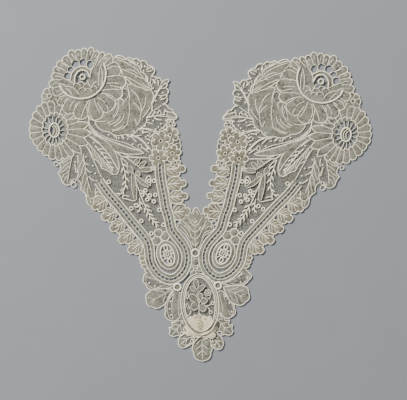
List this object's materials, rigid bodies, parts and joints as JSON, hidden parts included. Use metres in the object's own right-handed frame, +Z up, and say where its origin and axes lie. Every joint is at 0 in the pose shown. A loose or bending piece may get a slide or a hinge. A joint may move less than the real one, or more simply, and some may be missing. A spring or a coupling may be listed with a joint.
{
  "type": "lace jabot",
  "caption": "Flat V-shaped jabot of ivory needle lace with roses, daisies, a ladder braid along each arm and an oval pendant at the foot, laid on a surface",
  "frame": {"origin": "centre of the outline at the height of the underside, where the lace rests", "axes": "+Z up off the surface, +X along the longest extent from the left arm to the right arm, +Y from the pendant to the neck edge"},
  "size_m": [0.2562, 0.2349, 0.0025],
  "materials": {
    "toile": "matt close-stitched thread",
    "net": "matt open net",
    "cord": "corded thread with a soft sheen",
    "warm_toile": "matt close-stitched thread, yellowed",
    "cream_toile": "matt close-stitched thread, cream"
  },
  "bodies": {
    "root": {"berries": "toile", "braid_left": "cord", "braid_right": "cord", "centre_ring": "cord", "daisy_left": "toile", "daisy_right": "toile", "daisy_ring_left": "cord", "daisy_ring_right": "cord", "eye_left": "toile", "eye_right": "toile", "fan_leaf_lower_left": "toile", "fan_leaf_lower_right": "toile", "fan_leaf_middle_left": "toile", "fan_leaf_middle_right": "toile", "fan_leaf_upper_left": "toile", "fan_leaf_upper_right": "toile", "florets_left": "warm_toile", "florets_right": "warm_toile", "foot_leaf": "toile", "inner_border_left": "warm_toile", "inner_border_right": "warm_toile", "joining_ring_left": "cord", "joining_ring_right": "cord", "lower_leaf_left": "toile", "lower_leaf_right": "toile", "outer_border_left": "warm_toile", "outer_border_right": "warm_toile", "palmette": "toile", "panel_fern_left": "toile", "panel_fern_right": "toile", "panel_lily_left": "toile", "panel_lily_right": "toile", "panel_net_left": "net", "panel_net_right": "net", "pendant_band": "cord", "pendant_net": "net", "pendant_spray": "toile", "raised_flower": "cream_toile", "rose_heart_left": "cord", "rose_heart_right": "cord", "rose_leaf_lower_left": "toile", "rose_leaf_lower_right": "toile", "rose_leaf_upper_left": "toile", "rose_leaf_upper_right": "toile", "rose_left": "toile", "rose_right": "toile", "serrated_leaf_left": "toile", "serrated_leaf_right": "toile", "side_floret_left": "toile", "side_floret_right": "toile", "spray_leaf_high_left": "toile", "spray_leaf_high_right": "toile", "spray_leaf_long_left": "toile", "spray_leaf_long_right": "toile", "spray_leaf_low_left": "toile", "spray_leaf_low_right": "toile", "spray_leaf_middle_left": "toile", "spray_leaf_middle_right": "toile", "tip_net_left": "net", "tip_net_right": "net"}
  },
  "joints": []
}
